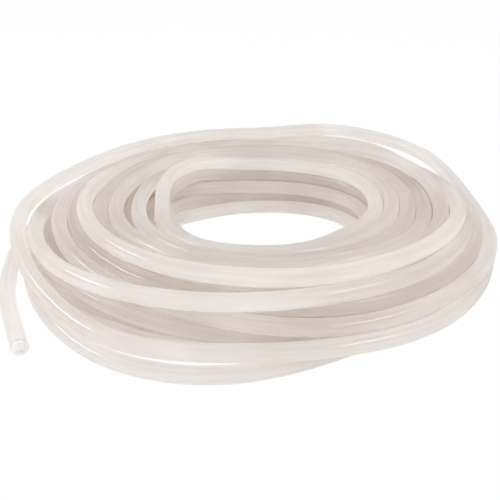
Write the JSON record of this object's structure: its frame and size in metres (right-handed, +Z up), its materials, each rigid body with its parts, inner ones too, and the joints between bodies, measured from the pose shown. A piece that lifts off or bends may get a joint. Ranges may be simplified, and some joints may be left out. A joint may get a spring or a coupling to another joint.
{
  "type": "silicone tubing coil",
  "caption": "Loosely wound coil of plain translucent silicone tubing, with its loose end lying beside it.",
  "frame": {"origin": "middle of the bounding box's base, on the surface that the coil lies on", "axes": "+Z up out of the coil's eye, +X to the right and -Y towards the front, with the loose end at the front left"},
  "size_m": [0.2672, 0.2752, 0.0475],
  "materials": {
    "silicone": "translucent, satin"
  },
  "bodies": {
    "root": {"coil": "silicone", "loose_end": "silicone", "inner_end": "silicone"}
  },
  "joints": []
}
